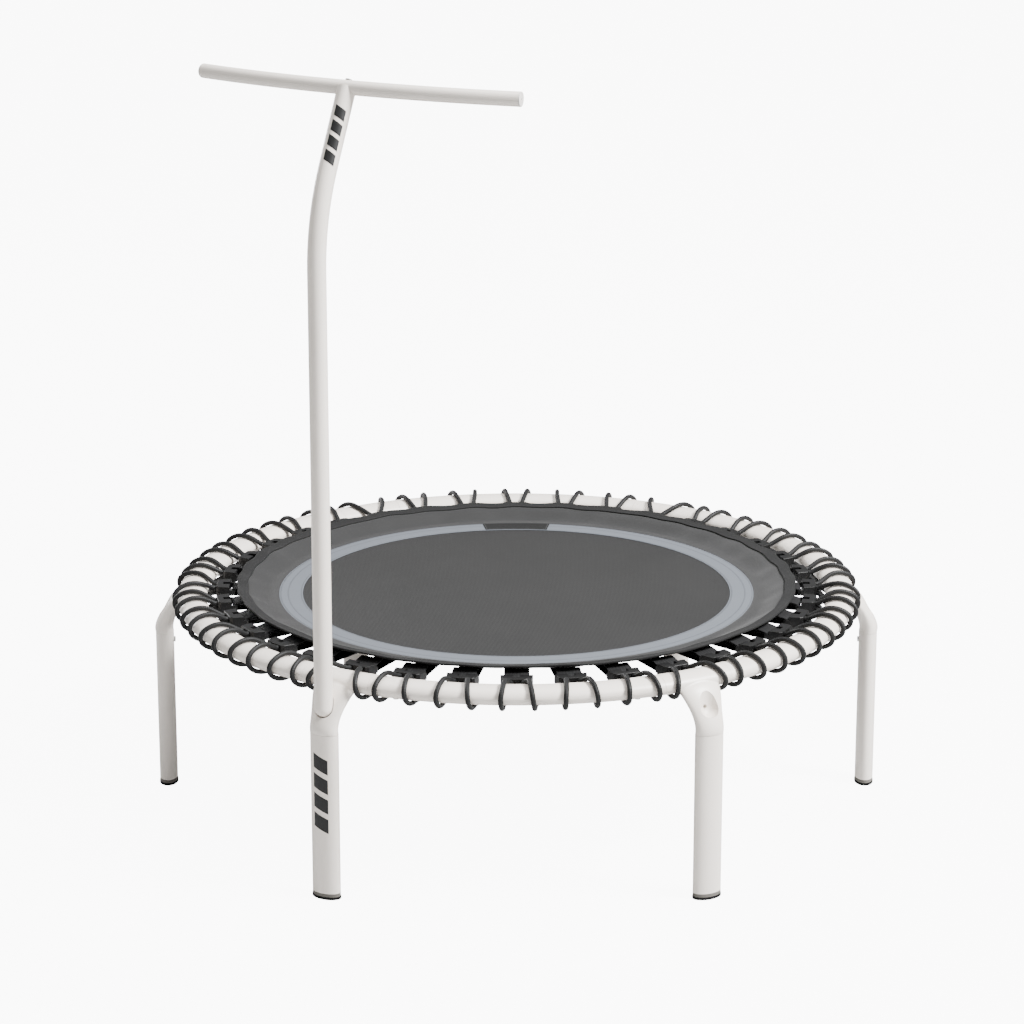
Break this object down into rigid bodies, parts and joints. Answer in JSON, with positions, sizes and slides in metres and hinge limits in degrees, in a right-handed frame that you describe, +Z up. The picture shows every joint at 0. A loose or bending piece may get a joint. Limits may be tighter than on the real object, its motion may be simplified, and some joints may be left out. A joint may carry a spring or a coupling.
{
  "type": "mini trampoline",
  "caption": "Round fitness trampoline: oval steel ring on six legs, a mat hung on bungee loops, and a bolted T-bar handle at the front left.",
  "frame": {"origin": "on the floor, under the centre of the ring", "axes": "+Z up, -Y towards the front, +X to the right of someone who looks along +Y"},
  "size_m": [1.2036, 1.135, 1.2549],
  "materials": {
    "frame_paint": "warm off-white powder coat, satin",
    "foot_cap_plastic": "grey-brown moulded plastic",
    "foot_rubber": "black moulded rubber",
    "bungee_cord": "braided sheath, near black",
    "clip_plastic": "black moulded nylon",
    "strap_webbing": "black webbing",
    "zinc_steel": "zinc plated",
    "mat_weave": "dark grey plain weave",
    "band_fabric": "blue-grey coated fabric",
    "skirt_fabric": "dark grey stretch fabric",
    "hem_fabric": "dark grey folded and stitched fabric",
    "label_fabric": "black woven patch",
    "insert_plastic": "black moulded nylon",
    "end_cap_plastic": "off-white moulded plastic"
  },
  "bodies": {
    "frame": {"bar_bolt": "zinc_steel", "bar_end_caps": "end_cap_plastic", "bungee_cord_1": "bungee_cord", "bungee_cord_2": "bungee_cord", "bungee_cord_3": "bungee_cord", "bungee_cord_4": "bungee_cord", "bungee_cord_5": "bungee_cord", "bungee_cord_6": "bungee_cord", "foot_cap_1": "foot_cap_plastic", "foot_cap_2": "foot_cap_plastic", "foot_cap_3": "foot_cap_plastic", "foot_cap_4": "foot_cap_plastic", "foot_cap_5": "foot_cap_plastic", "foot_cap_6": "foot_cap_plastic", "foot_pad_1": "foot_rubber", "foot_pad_2": "foot_rubber", "foot_pad_3": "foot_rubber", "foot_pad_4": "foot_rubber", "foot_pad_5": "foot_rubber", "foot_pad_6": "foot_rubber", "handle_bar": "frame_paint", "handle_bolt": "zinc_steel", "handle_pole": "frame_paint", "leg_connector_1": "frame_paint", "leg_connector_2": "frame_paint", "leg_connector_3": "frame_paint", "leg_connector_4": "frame_paint", "leg_connector_5": "frame_paint", "leg_connector_6": "frame_paint", "leg_screws": "zinc_steel", "leg_tube_1": "frame_paint", "leg_tube_2": "frame_paint", "leg_tube_3": "frame_paint", "leg_tube_4": "frame_paint", "leg_tube_5": "frame_paint", "leg_tube_6": "frame_paint", "pole_foot_plug": "insert_plastic", "pole_top_insert": "insert_plastic", "ring_screws": "zinc_steel", "ring_tube_1": "frame_paint", "ring_tube_2": "frame_paint", "ring_tube_3": "frame_paint", "ring_tube_4": "frame_paint", "ring_tube_5": "frame_paint", "ring_tube_6": "frame_paint"},
    "mat": {"bungee_clips_1": "clip_plastic", "bungee_clips_2": "clip_plastic", "bungee_clips_3": "clip_plastic", "bungee_clips_4": "clip_plastic", "bungee_clips_5": "clip_plastic", "bungee_clips_6": "clip_plastic", "clip_straps": "strap_webbing", "mat_band": "band_fabric", "mat_fabric": "mat_weave", "mat_label": "label_fabric", "skirt": "skirt_fabric", "skirt_hem": "hem_fabric"}
  },
  "joints": [
    {"name": "mat_bounce", "type": "slide", "parent": "frame", "child": "mat", "axis": [0, 0, 1], "range_m": [-0.12, 0.02], "stiffness_N_per_m": 14000, "springref_m": 0.0014, "deforming": ["bungee_cord_1", "bungee_cord_2", "bungee_cord_3", "bungee_cord_4", "bungee_cord_5", "bungee_cord_6"]}
  ]
}
